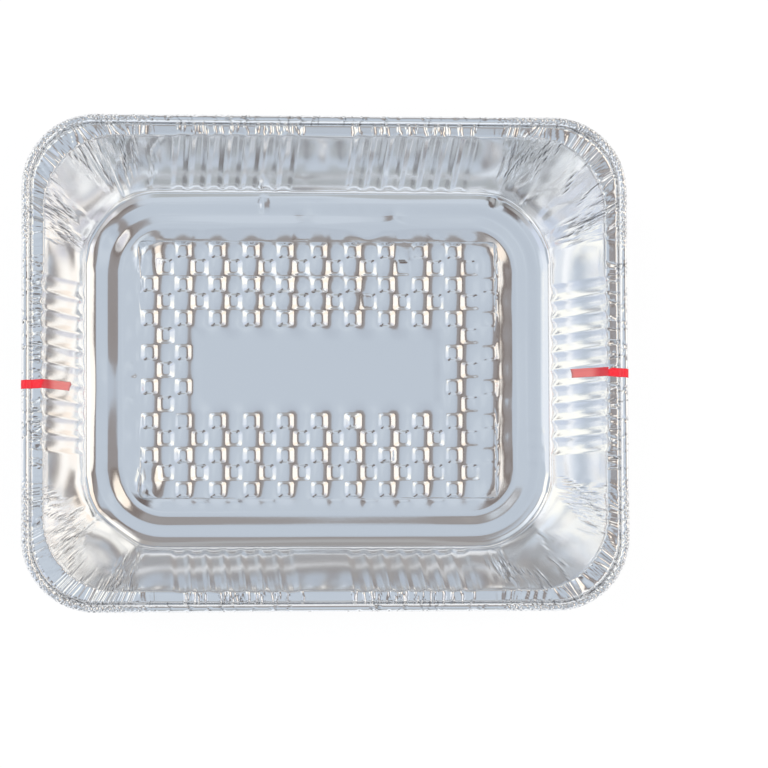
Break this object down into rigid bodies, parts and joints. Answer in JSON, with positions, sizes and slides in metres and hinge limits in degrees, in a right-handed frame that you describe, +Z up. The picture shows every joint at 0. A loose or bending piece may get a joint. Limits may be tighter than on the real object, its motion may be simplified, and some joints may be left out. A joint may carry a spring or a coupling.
{
  "type": "foil roasting pan",
  "caption": "Rectangular aluminium foil roasting pan with rolled rim, fluted sloping walls and an embossed stepped floor.",
  "frame": {"origin": "middle of the floor, in the plane of the table that the pan stands on", "axes": "+X along the pan's long side, +Y along its short side, +Z up, out of the open top"},
  "size_m": [0.3282, 0.268, 0.0651],
  "materials": {
    "foil": "bright rolled foil",
    "red_tape": "glossy film"
  },
  "bodies": {
    "root": {"pan": "foil", "red_tape_left": "red_tape", "red_tape_right": "red_tape"}
  },
  "joints": []
}
